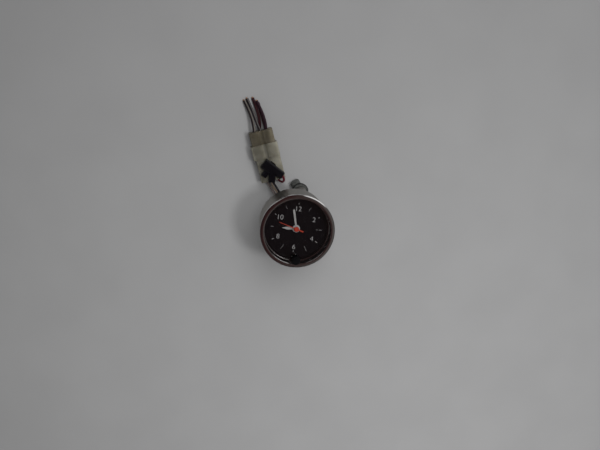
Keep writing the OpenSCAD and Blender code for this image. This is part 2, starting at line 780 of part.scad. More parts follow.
// Soft-iron frame with a hole for the rotor and a core bar for the coil
module motor_stator() {
    color("slategray") at(rotor_pos, 0) rotate(rotor_angle) {
        translate([0, 0, stator_z]) linear_extrude(stator_t) difference() {
            translate([-rotor_magnet_r - 1.2, -motor_half_w])
                square([rotor_magnet_r + 1.2 + motor_reach + 1.4, 2 * motor_half_w]);
            circle(rotor_magnet_r + air_gap);
            translate([rotor_magnet_r + 1, -motor_half_w + arm_w])
                square([motor_reach + 2, 2 * (motor_half_w - arm_w)]);
        }
        translate([motor_reach, motor_half_w - arm_w + eps, stator_mid_z]) rotate([90, 0, 0])
            cylinder(h = 2 * (motor_half_w - arm_w + eps), r = coil_core_r * 0.7);
        for (y = [-1, 1]) translate([motor_reach, y * (motor_half_w - arm_w / 2), 0])
            rod(back_plate_top, stator_z + eps, arm_w / 2);
    }
}

module motor_coil() {
    coil_l = 2 * (motor_half_w - arm_w) - 0.4;
    cheek_t = 0.6;
    color("chocolate") at(rotor_pos, stator_mid_z) rotate(rotor_angle)
        translate([motor_reach, coil_l / 2, 0]) rotate([90, 0, 0]) difference() {
            union() {
                cylinder(h = coil_l, r = coil_r - 0.2);
                cylinder(h = cheek_t, r = coil_r);
                translate([0, 0, coil_l - cheek_t]) cylinder(h = cheek_t, r = coil_r);
            }
            translate([0, 0, -eps]) cylinder(h = coil_l + 2 * eps, r = coil_core_r);
        }
}

module motor_rotor() {
    color("dimgray") at(rotor_pos, 0) {
        rod(back_plate_top - pivot_l, front_plate_z + pivot_l, pivot_r);
        rod(stator_mid_z - rotor_magnet_h / 2, stator_mid_z + rotor_magnet_h / 2, rotor_magnet_r);
        pinion(rotor_teeth, train_module, rotor_shift, rotor_phase,
            second_wheel_z - pinion_extra, second_wheel_z + wheel_t + pinion_extra);
    }
}

module second_wheel() {
    color("goldenrod") {
        rod(back_plate_top - pivot_l, second_hand_z + hand_t, arbor_r);
        gear_wheel(second_teeth, train_module, -rotor_shift, second_phase, second_wheel_z);
        pinion(second_pinion_teeth, train_module, second_pinion_shift, second_pinion_phase,
            third_wheel_z - pinion_extra, third_wheel_z + wheel_t + pinion_extra);
    }
}

module third_wheel() {
    color("goldenrod") at(third_pos, 0) {
        rod(back_plate_top - pivot_l, front_plate_z + pivot_l, pivot_r);
        gear_wheel(third_teeth, train_module, -second_pinion_shift, third_phase, third_wheel_z);
        pinion(third_pinion_teeth, centre_module, third_pinion_shift, third_pinion_phase,
            centre_wheel_z - pinion_extra, centre_wheel_z + wheel_t + pinion_extra);
    }
}

// The minute hand's wheel, its tube and the cannon pinion on the tube
module centre_wheel() {
    tube_bottom = centre_wheel_z - 0.6;
    color("goldenrod") difference() {
        union() {
            rod(tube_bottom, minute_hand_z + hand_t, tube_r);
            gear_wheel(centre_teeth, centre_module, -third_pinion_shift, centre_phase, centre_wheel_z);
            pinion(cannon_teeth, motion_module, cannon_shift, cannon_phase,
                minute_wheel_z - pinion_extra, minute_wheel_z + wheel_t + pinion_extra);
        }
        rod(tube_bottom - eps, minute_hand_z + hand_t + eps, tube_in_r);
    }
}

module minute_wheel() {
    color("goldenrod") at(minute_pos, 0) difference() {
        union() {
            gear_wheel(minute_teeth, motion_module, -cannon_shift, minute_phase, minute_wheel_z);
            pinion(minute_pinion_teeth, motion_module, minute_pinion_shift, minute_pinion_phase,
                minute_wheel_z + wheel_t - eps, hour_wheel_z + wheel_t + pinion_extra);
        }
        rod(minute_wheel_z - eps, post_top, post_r + run_gap);
    }
}

module hour_wheel() {
    pipe_bottom = hour_wheel_z - 0.2;
    color("goldenrod") difference() {
        union() {
            rod(pipe_bottom, hour_hand_z + hand_t, pipe_r);
            gear_wheel(hour_teeth, motion_module, -minute_pinion_shift, hour_phase, hour_wheel_z);
        }
        rod(pipe_bottom - eps, hour_hand_z + hand_t + eps, pipe_in_r);
    }
}

module setting_idler() {
    color("goldenrod") at(idler_pos, 0) difference() {
        gear_wheel(idler_teeth, motion_module, 0, idler_phase, minute_wheel_z);
        rod(minute_wheel_z - eps, post_top, post_r + run_gap);
    }
}

// A hand of sheet, drawn pointing to twelve and turned to its time: a blade on a bored hub
module hand(angle, z, hub_r, bore_r, blade) {
    rotate(-angle) translate([0, 0, z]) difference() {
        union() {
            cylinder(h = hand_t, r = hub_r);
            linear_extrude(hand_t) polygon(blade);
        }
        translate([0, 0, -eps]) cylinder(h = hand_t + 2 * eps, r = bore_r);
    }
}

module hour_hand() {
    root_w = 1.3;
    belly_w = 2.3;
    belly_l = hour_hand_l * 0.62;
    color("white") hand(hour_hand_angle, hour_hand_z, hour_hub_r, pipe_r + hand_fit, [
        [-root_w / 2, 0], [-belly_w / 2, belly_l], [0, hour_hand_l],
        [belly_w / 2, belly_l], [root_w / 2, 0]]);
}

module minute_hand() {
    root_w = 1.2;
    tip_w = 1.6;
    point_l = 0.8;
    color("white") hand(minute_hand_angle, minute_hand_z, minute_hub_r, tube_r + hand_fit, [
        [-root_w / 2, 0], [-tip_w / 2, minute_hand_l - point_l], [0, minute_hand_l],
        [tip_w / 2, minute_hand_l - point_l], [root_w / 2, 0]]);
}

module second_hand() {
    root_w = 0.6;
    tip_w = 0.3;
    tail_w = 1.1;
    color("orangered") hand(second_hand_angle, second_hand_z, second_hub_r, arbor_r + hand_fit, [
        [-root_w / 2, 0], [-tip_w / 2, second_hand_l], [tip_w / 2, second_hand_l],
        [root_w / 2, 0], [tail_w / 2, -second_tail_l], [-tail_w / 2, -second_tail_l]]);
}

// A low button with a rounded edge on the second hand's arbor
module hand_cap() {
    edge = 0.6;
    cap_z = second_hand_z + hand_t;
    cap_r = cap_d / 2;
    color("orangered") rotate_extrude() {
        translate([0, cap_z]) square([cap_r - edge, cap_h]);
        translate([0, cap_z]) square([cap_r, cap_h - edge]);
        intersection() {
            translate([cap_r - edge, cap_z + cap_h - edge]) circle(edge);
            translate([0, cap_z]) square([cap_r, cap_h]);
        }
    }
}

// Setting gear: pushed in, the pinion on the stem meets the idler

module stem_bush() {
    color("gold") at(stem_pos, 0)
        ring(front_plate_z - bush_drop, front_plate_top, bush_r, stem_r + run_gap);
}

module setting_stem() {
    color("silver") at(stem_pos, 0) {
        rod(stem_bottom, knob_z + knob_h - 1, stem_r);
        rod(stem_flange_z, stem_flange_z + stem_flange_t, stem_flange_r);
    }
}

module setting_pinion() {
    color("goldenrod") at(stem_pos, 0) difference() {
        pinion(setting_teeth, motion_module, 0, setting_phase,
            setting_pinion_z, setting_pinion_z + setting_pinion_t, setting_play);
        rod(setting_pinion_z - eps, setting_pinion_z + setting_pinion_t + eps, stem_r + hand_fit);
    }
}

// A fluted button with a rounded crown
module setting_knob() {
    crown = 0.9;
    flute_r = 0.35;
    color("black") at(stem_pos, 0) difference() {
        rotate_extrude() difference() {
            union() {
                translate([0, knob_z]) square([knob_r - crown, knob_h]);
                translate([0, knob_z]) square([knob_r, knob_h - crown]);
                translate([knob_r - crown, knob_z + knob_h - crown]) circle(crown);
            }
            translate([-1, knob_z - eps]) square([stem_r + hand_fit + 1, knob_h - 1 + 2 * eps]);
        }
        for (k = [0 : knob_flutes - 1]) rotate(k * 360 / knob_flutes)
            translate([knob_r + flute_r / 2, 0, knob_z - eps])
                cylinder(h = knob_h - crown, r = flute_r, $fn = 24);
    }
}

module spring_collar() {
    color("silver") at(stem_pos, 0) ring(collar_z, collar_z + collar_t, collar_r, stem_r + run_gap);
}

// The return spring winds round the stem between the dial and the collar
function spring_path() = let (
        low = dial_top + spring_wire_d / 2 + run_gap,
        high = collar_z - spring_wire_d / 2 - run_gap,
        steps = spring_curls * 8)
    [for (i = [0 : steps]) [
        stem_pos[0] + spring_d / 2 * cos(45 * i),
        stem_pos[1] + spring_d / 2 * sin(45 * i),
        low + (high - low) * i / steps]];
function spring_self_gap(path) = min([
    for (i = [0 : len(path) - 5]) for (j = [i + 4 : len(path) - 1]) norm(path[i] - path[j])])
    - spring_wire_d;

module return_spring() {
    path = spring_path();
    echo(return_spring_self_gap = spring_self_gap(path));
    color("silver") wire(path, spring_wire_d / 2, [0, 0, 1], 6);
}

// Back of the clock

module fixing_studs() {
    flange_low = can_back - stud_flange_t;
    color("gainsboro") for (x = [-0.5, 0.5]) at([x * stud_spacing, -stud_drop], 0) {
        translate([0, 0, floor_z]) cylinder(h = stud_tip, r1 = stud_neck_r, r2 = stud_r);
        rod(floor_z + stud_tip, flange_low - stud_runout, stud_r);
        rod(flange_low - stud_runout, can_floor, stud_neck_r);
        rod(flange_low, can_back, stud_flange_r);
        rod(can_floor, can_floor + stud_head_t, stud_head_r);
    }
}

// A drawn tube that grows out of the can's shoulder
module lamp_tube() {
    color("darkgray") difference() {
        at(lamp_pos, 0) ring(lamp_tube_z, corner_mid_z, lamp_tube_r, lamp_bore_r);
        rotate_extrude() cup_section(can_r, can_back, shoulder_r, 0);
        at(lamp_pos, can_back - catch_drop) rotate([0, 90, catch_angle])
            cylinder(h = lamp_tube_r + eps, r = catch_r);
    }
}

module lamp_washer() {
    color("black") at(lamp_pos, 0)
        ring(washer_z, holder_flange_z, lamp_washer_d / 2, holder_neck_r + hand_fit);
}

// An angled holder: its neck plugs into the tube and its side barrel rests on the floor
module lamp_holder() {
    barrel_z = floor_z + barrel_r;
    end_round = 0.8;
    color("gray") at(lamp_pos, 0) difference() {
        union() {
            rod(barrel_z, holder_top, holder_neck_r);
            rod(holder_flange_z, lamp_tube_z, holder_flange_r);
            rod(washer_z - holder_collar_t, washer_z, holder_collar_r);
            translate([0, 0, barrel_z]) sphere(barrel_r);
            translate([0, 0, barrel_z]) rotate([0, 90, barrel_angle]) {
                cylinder(h = barrel_l - end_round, r = barrel_r);
                translate([0, 0, barrel_l - end_round])
                    cylinder(h = end_round, r1 = barrel_r, r2 = barrel_r - end_round);
            }
        }
        rod(bulb_base_z, holder_top + eps, bulb_base_r + seat_gap);
    }
}

module lamp_bulb() {
    color("lightyellow") at(lamp_pos, 0) {
        rod(bulb_base_z, bulb_base_top, bulb_base_r);
        rod(bulb_base_top - eps, bulb_tip - bulb_r, bulb_r);
        translate([0, 0, bulb_tip - bulb_r]) sphere(bulb_r);
    }
}

module lead_grommet() {
    color("black") at(grommet_pos, 0) difference() {
        union() {
            rod(can_back - grommet_tail_l, can_back, grommet_rim_r);
            rod(can_back - eps, can_floor + eps, grommet_neck_r);
            rod(can_floor, can_floor + rear_room / 2, grommet_rim_r);
        }
        for (x = [-1, 0, 1]) translate([x * lead_spread, 0, 0])
            rod(can_back - grommet_tail_l - eps, can_floor + grommet_rim_t, lead_r + run_gap);
    }
}

// Wiring

module lead_black() {
    color("black") wire(lead_black_route, lead_r, lead_side);
}

module lead_beige() {
    color("tan") wire(lead_beige_route, lead_r, lead_side);
}

module lead_grey() {
    color("rosybrown") wire(lead_grey_route, lead_r, lead_side);
}

module loop_red() {
    color("darkred") wire(loop_red_route, lead_r, connector_side);
}

// Soft grooves along the middle of a body's top and bottom
module middle_grooves(from, to, height) {
    for (side = [-1, 1])
        translate([from - eps, 0, side * (height / 2 + groove_r - groove_depth)]) rotate([0, 90, 0])
            cylinder(h = to - from + 2 * eps, r = groove_r);
}

// The receptacle on the clock's leads, with the hood that takes the plug
module connector_receptacle() {
    color("ivory") in_connector() difference() {
        union() {
            translate([0, receptacle_offset, 0])
                rounded_box(receptacle_l, receptacle_w, body_h, corner_r);
            translate([receptacle_l, 0, 0]) rounded_box(hood_l, hood_w, hood_h, corner_r);
        }
        middle_grooves(receptacle_l, hood_end, hood_h);
        translate([receptacle_l + nose_inset, 0, 0])
            rounded_box(hood_l, hood_w - 2 * hood_wall, hood_h - 2 * hood_wall, corner_r);
        contact_rods(-eps, socket_l, socket_r);
        contact_rods(socket_l - eps, receptacle_l + nose_inset + eps, contact_r + contact_play);
    }
}

// The plug on the cut wires, with its nose in the hood
module connector_plug() {
    nose_start = receptacle_l + nose_inset + nose_gap;
    nose_w = hood_w - 2 * hood_wall - 2 * nose_gap;
    nose_h = hood_h - 2 * hood_wall - 2 * nose_gap;
    color("ivory") in_connector() difference() {
        union() {
            translate([hood_end, 0, 0]) rounded_box(plug_l, plug_w, body_h, corner_r);
            translate([nose_start, 0, 0])
                rounded_box(hood_end - nose_start + eps, nose_w, nose_h, corner_r);
        }
        middle_grooves(hood_end, plug_end, body_h);
        contact_rods(plug_end - socket_l, plug_end + eps, socket_r);
        contact_rods(nose_start - eps, plug_end - socket_l + eps, contact_r + contact_play);
    }
}

module connector_contacts() {
    color("silver") in_connector() contact_rods(socket_l, plug_end - socket_l, contact_r);
}

// One moulded arm of the tap over the receptacle, with broken upper edges
module splice_arm(start, turn, size) {
    side = size[1] / 2;
    flat = side - splice_edge;
    top = size[2];
    shoulder = top - splice_edge;
    translate(start) rotate([90, 0, turn + 90]) linear_extrude(size[0]) polygon([
        [-side, 0], [side, 0], [side, shoulder], [flat, top], [-flat, top], [-side, shoulder]]);
}

// Black moulded tap that joins the red wire to the black lead, lying on the receptacle
module wire_splice() {
    color("black") in_connector() translate([0, 0, body_h / 2]) {
        splice_arm(splice_head, splice_turn, splice_head_size);
        splice_arm(splice_foot, splice_turn, splice_foot_size);
        splice_arm(splice_cross, splice_turn - 90, splice_cross_size);
        splice_arm(splice_lead, splice_lead_turn, splice_lead_size);
    }
}

module tail_white() {
    color("whitesmoke") wire(tail_white_route, tail_r, connector_side);
}

module tail_black() {
    color("black") wire(tail_black_route, tail_r, connector_side);
}

module tail_brown() {
    color("saddlebrown") wire(tail_brown_route, tail_r, connector_side);
}

module tail_red() {
    color("darkred") wire(tail_red_route, tail_r, connector_side);
}

module tail_purple() {
    color("purple") wire(tail_purple_route, tail_r, connector_side);
}

bezel();
lens();
lens_gasket();
reflector_ring();
dial();
can();
movement_ring();
front_plate();
back_plate();
plate_pillars();
board_spacers();
plate_screws();
circuit_board();
board_parts();
quartz_crystal();
motor_stator();
motor_coil();
motor_rotor();
second_wheel();
third_wheel();
centre_wheel();
minute_wheel();
hour_wheel();
hour_hand();
minute_hand();
second_hand();
hand_cap();
setting_idler();
stem_bush();
setting_stem();
setting_pinion();
setting_knob();
spring_collar();
return_spring();
fixing_studs();
lamp_tube();
lamp_washer();
lamp_holder();
lamp_bulb();
lead_grommet();
lead_black();
lead_beige();
lead_grey();
loop_red();
connector_receptacle();
connector_plug();
connector_contacts();
wire_splice();
tail_white();
tail_black();
tail_brown();
tail_red();
tail_purple();
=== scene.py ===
import json
import math

import bpy
from mathutils import Matrix, Vector

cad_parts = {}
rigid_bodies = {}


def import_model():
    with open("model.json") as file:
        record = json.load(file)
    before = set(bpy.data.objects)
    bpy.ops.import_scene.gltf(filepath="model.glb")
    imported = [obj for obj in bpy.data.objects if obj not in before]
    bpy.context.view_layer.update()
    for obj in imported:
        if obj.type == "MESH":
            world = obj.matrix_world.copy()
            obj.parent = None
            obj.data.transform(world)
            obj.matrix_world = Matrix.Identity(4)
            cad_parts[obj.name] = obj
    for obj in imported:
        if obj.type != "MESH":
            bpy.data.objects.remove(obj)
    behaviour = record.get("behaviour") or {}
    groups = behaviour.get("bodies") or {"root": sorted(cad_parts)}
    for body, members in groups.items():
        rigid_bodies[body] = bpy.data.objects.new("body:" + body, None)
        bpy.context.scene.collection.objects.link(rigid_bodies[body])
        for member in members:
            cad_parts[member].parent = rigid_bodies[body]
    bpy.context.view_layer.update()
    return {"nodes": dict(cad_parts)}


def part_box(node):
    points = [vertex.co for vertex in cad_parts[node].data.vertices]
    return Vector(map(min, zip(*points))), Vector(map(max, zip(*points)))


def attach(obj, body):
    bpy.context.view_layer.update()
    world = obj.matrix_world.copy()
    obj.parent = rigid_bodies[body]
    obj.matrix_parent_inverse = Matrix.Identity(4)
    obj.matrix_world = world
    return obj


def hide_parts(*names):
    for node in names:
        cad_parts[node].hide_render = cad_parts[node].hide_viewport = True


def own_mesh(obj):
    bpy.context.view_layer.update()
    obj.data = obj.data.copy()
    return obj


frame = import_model()
nodes = frame["nodes"]

# The can is drawn from steel sheet and zinc plated, with faint lines from the drawing tool.
# The short tube for the lamp grows out of its shoulder in the same finish.
MM = 0.001


def shader_of(finish):
    return finish.node_tree.nodes["Principled BSDF"]


def grained(name, dark, light, grain, matt, relief=0.0, metal=0.0, stretch=(1, 1, 1)):
    """A finish whose tone and gloss change with a grain of the given size, in metres."""
    finish = bpy.data.materials.new(name)
    finish.use_nodes = True
    tree = finish.node_tree
    shader = shader_of(finish)
    shader.inputs["Metallic"].default_value = metal
    place = tree.nodes.new("ShaderNodeTexCoord")
    turn = tree.nodes.new("ShaderNodeMapping")
    turn.inputs["Scale"].default_value = stretch
    cloud = tree.nodes.new("ShaderNodeTexNoise")
    cloud.inputs["Scale"].default_value = 1 / grain
    cloud.inputs["Detail"].default_value = 5
    tones = tree.nodes.new("ShaderNodeValToRGB")
    tones.color_ramp.elements[0].position = 0.35
    tones.color_ramp.elements[0].color = (*dark, 1)
    tones.color_ramp.elements[1].position = 0.65
    tones.color_ramp.elements[1].color = (*light, 1)
    gloss = tree.nodes.new("ShaderNodeMapRange")
    gloss.inputs["From Min"].default_value = 0.3
    gloss.inputs["From Max"].default_value = 0.7
    gloss.inputs["To Min"].default_value = matt[0]
    gloss.inputs["To Max"].default_value = matt[1]
    tree.links.new(place.outputs["Object"], turn.inputs["Vector"])
    tree.links.new(turn.outputs["Vector"], cloud.inputs["Vector"])
    tree.links.new(cloud.outputs["Fac"], tones.inputs["Fac"])
    tree.links.new(cloud.outputs["Fac"], gloss.inputs["Value"])
    tree.links.new(tones.outputs["Color"], shader.inputs["Base Color"])
    tree.links.new(gloss.outputs["Result"], shader.inputs["Roughness"])
    if relief:
        pits = tree.nodes.new("ShaderNodeTexNoise")
        pits.inputs["Scale"].default_value = 4 / grain
        pits.inputs["Detail"].default_value = 3
        bump = tree.nodes.new("ShaderNodeBump")
        bump.inputs["Strength"].default_value = relief
        bump.inputs["Distance"].default_value = grain / 8
        tree.links.new(turn.outputs["Vector"], pits.inputs["Vector"])
        tree.links.new(pits.outputs["Fac"], bump.inputs["Height"])
        tree.links.new(bump.outputs["Normal"], shader.inputs["Normal"])
    return finish


def dress(finish, *names):
    """Gives the pieces of these names a finish."""
    for name in names:
        for slot in nodes[name].material_slots:
            slot.material = finish


dress(grained("dull_zinc", (0.25, 0.235, 0.215), (0.345, 0.33, 0.305), 3 * MM, (0.34, 0.50),
    relief=0.12, metal=1.0, stretch=(1, 1, 0.25)), "can", "lamp_tube")

# Two steel studs are riveted through the can's floor, with a flange below it and a head above.
# They carry a rolled M4 thread, modelled as a ridge that winds round a turned core.
stud_low, stud_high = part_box("fixing_studs")
flange_r = 3.4 * MM
flange_thick = 1.0 * MM
flange_break = 0.15 * MM
stud_x = stud_high.x - flange_r
stud_y = stud_high.y - flange_r
stud_r = 2.0 * MM
core_r = 1.56 * MM
neck_r = 1.65 * MM
neck_long = 0.6 * MM
neck_taper = 0.3 * MM
point_in = 0.3 * MM
point_up = 0.5 * MM
head_r = 2.8 * MM
head_thick = 1.0 * MM
head_break = 0.2 * MM
thread_pitch = 0.7 * MM
thread_turns = 32
thread_steps = 20
can_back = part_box("can")[0].z
can_floor = stud_high.z - head_thick
flange_low = can_back - flange_thick
thread_top = flange_low - neck_long - neck_taper


def pick(*pieces):
    """Selects these pieces alone and makes the first one active."""
    bpy.ops.object.select_all(action="DESELECT")
    for piece in pieces:
        piece.select_set(True)
    if pieces:
        bpy.context.view_layer.objects.active = pieces[0]


def turned(name, outline, steps=32):
    """A turned solid round the Z axis, from its outline's pairs of radius and height."""
    weld = 0.001 * MM
    pick()
    bpy.ops.mesh.primitive_plane_add(size=MM)
    solid = bpy.context.object
    solid.name = name
    bpy.ops.object.mode_set(mode="EDIT")
    bpy.ops.mesh.merge(type="CENTER")
    places = [Vector((radius, 0, height)) for radius, height in outline]
    bpy.ops.transform.translate(value=places[0])
    for here, there in zip(places, places[1:]):
        bpy.ops.mesh.extrude_region_move(TRANSFORM_OT_translate={"value": there - here})
    bpy.ops.mesh.select_all(action="SELECT")
    bpy.ops.mesh.spin(steps=steps, angle=2 * math.pi, center=(0, 0, 0), axis=(0, 0, 1))
    bpy.ops.mesh.select_all(action="SELECT")
    bpy.ops.mesh.remove_doubles(threshold=weld)
    bpy.ops.mesh.normals_make_consistent(inside=False)
    bpy.ops.object.mode_set(mode="OBJECT")
    return solid


right_stud = turned("threaded_stud", [
    (0, stud_low.z), (core_r - point_in, stud_low.z), (core_r, stud_low.z + point_up),
    (core_r, thread_top), (neck_r, thread_top + neck_taper), (neck_r, flange_low),
    (flange_r - flange_break, flange_low), (flange_r, flange_low + flange_break),
    (flange_r, can_back), (neck_r, can_back), (neck_r, can_floor), (head_r, can_floor),
    (head_r, stud_high.z - head_break), (head_r - head_break, stud_high.z), (0, stud_high.z)])
ridge_r = thread_pitch / math.sqrt(3)
pick()
bpy.ops.mesh.primitive_circle_add(vertices=3, radius=ridge_r,
    rotation=(math.pi / 2, math.pi / 2, 0),
    location=(stud_r - ridge_r, 0, stud_low.z + thread_pitch))
stud_ridge = bpy.context.object
bpy.ops.object.transform_apply(location=True, rotation=True, scale=True)
winding = stud_ridge.modifiers.new("winding", "SCREW")
winding.axis = "Z"
winding.screw_offset = thread_pitch
winding.iterations = thread_turns
winding.steps = thread_steps
winding.use_merge_vertices = False
bpy.ops.object.modifier_apply(modifier="winding")
bpy.ops.object.mode_set(mode="EDIT")
bpy.ops.mesh.select_all(action="SELECT")
bpy.ops.mesh.fill_holes(sides=3)
bpy.ops.mesh.select_all(action="SELECT")
bpy.ops.mesh.normals_make_consistent(inside=False)
bpy.ops.object.mode_set(mode="OBJECT")
pick(right_stud, stud_ridge)
bpy.ops.object.join()
bpy.ops.object.shade_smooth_by_angle(angle=math.radians(35))
right_stud.data.materials.append(grained("bright_stud", (0.48, 0.48, 0.46), (0.62, 0.61, 0.58),
    1.5 * MM, (0.24, 0.36), relief=0.15, metal=1.0))
bpy.ops.object.duplicate()
left_stud = bpy.context.object
for stud, side in ((right_stud, 1), (left_stud, -1)):
    pick(stud)
    stud.location = (side * stud_x, stud_y, 0)
    bpy.ops.object.transform_apply(location=True, rotation=True, scale=True)
pick(right_stud, left_stud)
bpy.ops.object.join()
studs = bpy.context.object
studs.name = "threaded_studs"
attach(studs, "case")
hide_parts("fixing_studs")

# An angled lamp holder of grey moulding is pushed into the tube over a rubber washer.
# Its small capless bulb lights the dial from behind through a hole in the can.
dress(grained("grey_moulding", (0.045, 0.047, 0.045), (0.075, 0.077, 0.073), 2 * MM, (0.42, 0.58),
    relief=0.2), "lamp_holder")
dress(grained("black_rubber", (0.010, 0.010, 0.010), (0.020, 0.020, 0.020), 1.5 * MM, (0.6, 0.78),
    relief=0.3), "lamp_washer", "lead_grommet", "lens_gasket")
bulb_glass = grained("bulb_glass", (0.95, 0.94, 0.90), (0.98, 0.97, 0.94), 2 * MM, (0.03, 0.06))
shader_of(bulb_glass).inputs["Transmission Weight"].default_value = 0.9
dress(bulb_glass, "lamp_bulb")

# The movement sits in a moulded ring: two brass plates on pillars, held by three screws.
# The brass wheels run between the plates and, for the hour hand and the setting, above them.
dress(grained("white_moulding", (0.66, 0.65, 0.60), (0.74, 0.73, 0.68), 3 * MM, (0.4, 0.55),
    relief=0.1), "movement_ring")
dress(grained("satin_brass", (0.46, 0.30, 0.10), (0.60, 0.42, 0.17), 1.2 * MM, (0.26, 0.4),
    relief=0.1, metal=1.0),
    "front_plate", "back_plate", "plate_pillars", "board_spacers", "second_wheel", "third_wheel",
    "centre_wheel", "minute_wheel", "hour_wheel", "setting_idler", "setting_pinion", "stem_bush")
steel = grained("bright_steel", (0.46, 0.46, 0.46), (0.60, 0.60, 0.60), 1.2 * MM, (0.22, 0.36),
    relief=0.1, metal=1.0)
dress(steel, "plate_screws")

# The green lacquered board carries the timing chip, a trimmer and the crystal in its steel can.
# The stepping motor has a soft iron frame, a coil of enamelled wire and a magnet as rotor.
black_moulding = grained("black_moulding", (0.0022, 0.0022, 0.0025), (0.0045, 0.0045, 0.0050),
    1.5 * MM, (0.42, 0.58), relief=0.15)
shader_of(black_moulding).inputs["Specular IOR Level"].default_value = 0.15
dress(black_moulding, "board_parts")
dress(grained("board_lacquer", (0.020, 0.085, 0.030), (0.035, 0.125, 0.048), 2.5 * MM, (0.3, 0.45),
    relief=0.1), "circuit_board")
dress(steel, "quartz_crystal")
dress(grained("soft_iron", (0.16, 0.16, 0.17), (0.25, 0.25, 0.26), 1.5 * MM, (0.4, 0.55),
    relief=0.2, metal=1.0), "motor_stator")
dress(grained("enamelled_winding", (0.30, 0.11, 0.04), (0.46, 0.19, 0.08), 0.6 * MM, (0.3, 0.45),
    relief=0.5, metal=1.0, stretch=(0.2, 0.2, 1)), "motor_coil")
dress(grained("magnet", (0.07, 0.07, 0.075), (0.12, 0.12, 0.125), 1.5 * MM, (0.4, 0.55),
    relief=0.15, metal=1.0), "motor_rotor")

# The dial is a thin plate sprayed matt black, with light numbers at the even hours.
# Thin lines at the odd hours and short marks at the even ones are printed in the same white.
# A line is given by its hours, its inner and outer ends and its width, in millimetres.
dial_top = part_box("dial")[1].z
dress(grained("matt_black", (0.0020, 0.0017, 0.0024), (0.0036, 0.0032, 0.0044), 2 * MM,
    (0.5, 0.65), relief=0.1), "dial")
hour_turn = 30
number_ring = 15.1 * MM
number_height = 5.4 * MM
stroke_trim = 0.03 * MM
ink = 0.02 * MM
dial_lines = [
    ((5, 7), 15.8, 20.2, 0.18),
    ((1, 11), 16.6, 19.4, 0.18),
    ((3,), 15.6, 16.9, 0.2),
    ((3,), 17.8, 19.9, 0.24),
    ((9,), 17.2, 19.4, 0.26),
    ((4, 8), 18.4, 20.4, 0.42),
    ((2, 10, 12), 18.7, 19.8, 0.45),
    ((6,), 17.9, 18.9, 0.45),
]


def at_hour(hour, radius):
    """The place of an hour on the dial's face, at a distance from its centre."""
    angle = math.radians(90 - hour_turn * hour)
    return Vector((radius * math.cos(angle), radius * math.sin(angle), dial_top))


printed = []
for hour in (2, 4, 6, 8, 10, 12):
    pick()
    bpy.ops.object.text_add(location=at_hour(hour, number_ring))
    number = bpy.context.object
    number.data.body = str(hour)
    number.data.align_x = "CENTER"
    number.data.align_y = "CENTER"
    number.data.size = number_height
    number.data.extrude = ink
    number.data.offset = -stroke_trim
    bpy.ops.object.convert(target="MESH")
    printed.append(bpy.context.object)
for hours, inner, outer, width in dial_lines:
    for hour in hours:
        pick()
        bpy.ops.mesh.primitive_cube_add(size=1, location=at_hour(hour, (inner + outer) / 2 * MM),
            rotation=(0, 0, -math.radians(hour_turn * hour)),
            scale=(width * MM, (outer - inner) * MM, 2 * ink))
        bpy.ops.object.mode_set(mode="EDIT")
        bpy.ops.mesh.bevel(offset=ink / 2, segments=2)
        bpy.ops.object.mode_set(mode="OBJECT")
        printed.append(bpy.context.object)
pick(*printed)
bpy.ops.object.join()
dial_print = bpy.context.object
bpy.ops.object.transform_apply(location=True, rotation=True, scale=True)
dial_print.name = "dial_print"
dial_print.data.materials.clear()
dial_print.data.materials.append(grained("white_print", (0.27, 0.265, 0.265), (0.34, 0.335, 0.335),
    0.8 * MM, (0.5, 0.65)))
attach(dial_print, "case")

# The hands are stamped from thin sheet and painted, the second hand in orange-red.
# A moulded orange-red cap is pressed over the centre.
dress(grained("white_paint", (0.28, 0.275, 0.27), (0.33, 0.325, 0.32), 2 * MM, (0.4, 0.55),
    relief=0.1), "hour_hand", "minute_hand")
dress(grained("orange_paint", (0.34, 0.040, 0.022), (0.42, 0.055, 0.030), 2 * MM, (0.4, 0.55),
    relief=0.1), "second_hand")
dress(grained("orange_cap", (0.33, 0.032, 0.018), (0.41, 0.045, 0.025), 1.5 * MM, (0.3, 0.42),
    relief=0.1), "hand_cap")

# A coil spring of bright wire pushes the blued setting stem and its moulded knob back up.
# It stands on the dial round the stem and is squeezed when the knob is pushed in.
collar_low, collar_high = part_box("spring_collar")
stem_place = (collar_low + collar_high) / 2
spring_low, spring_high = (corner.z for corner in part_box("return_spring"))
spring_wire = 0.45 * MM
spring_mid = 1.75 * MM
spring_curls = 5
steps_a_curl = 32
wire_sides = 12
pick()
bpy.ops.mesh.primitive_circle_add(vertices=wire_sides, radius=spring_wire / 2, fill_type="NGON",
    location=(stem_place.x + spring_mid, stem_place.y, spring_low + spring_wire / 2),
    rotation=(math.pi / 2, 0, 0))
spring = bpy.context.object
spring.name = "coil_spring"
bpy.ops.object.mode_set(mode="EDIT")
spring_steps = spring_curls * steps_a_curl
spring_climb = (spring_high - spring_low - spring_wire) / spring_steps
spring_axis = (stem_place.x, stem_place.y, 0)
for step in range(spring_steps):
    bpy.ops.mesh.extrude_region_move(TRANSFORM_OT_translate={"value": (0, 0, spring_climb)})
    bpy.ops.transform.rotate(value=-2 * math.pi / steps_a_curl, orient_axis="Z",
        center_override=spring_axis)
bpy.ops.mesh.select_all(action="SELECT")
bpy.ops.mesh.normals_make_consistent(inside=False)
bpy.ops.object.mode_set(mode="OBJECT")
bpy.ops.object.transform_apply(location=True, rotation=True, scale=True)
bpy.ops.object.shade_smooth_by_angle(angle=math.radians(50))
spring.data.materials.append(grained("spring_wire", (0.16, 0.16, 0.16), (0.30, 0.30, 0.30),
    1.2 * MM, (0.18, 0.30), relief=0.1, metal=1.0))
dress(grained("blued_steel", (0.030, 0.030, 0.033), (0.060, 0.060, 0.064), 1.2 * MM, (0.22, 0.36),
    relief=0.1, metal=1.0), "setting_stem", "spring_collar")
dress(black_moulding, "setting_knob")
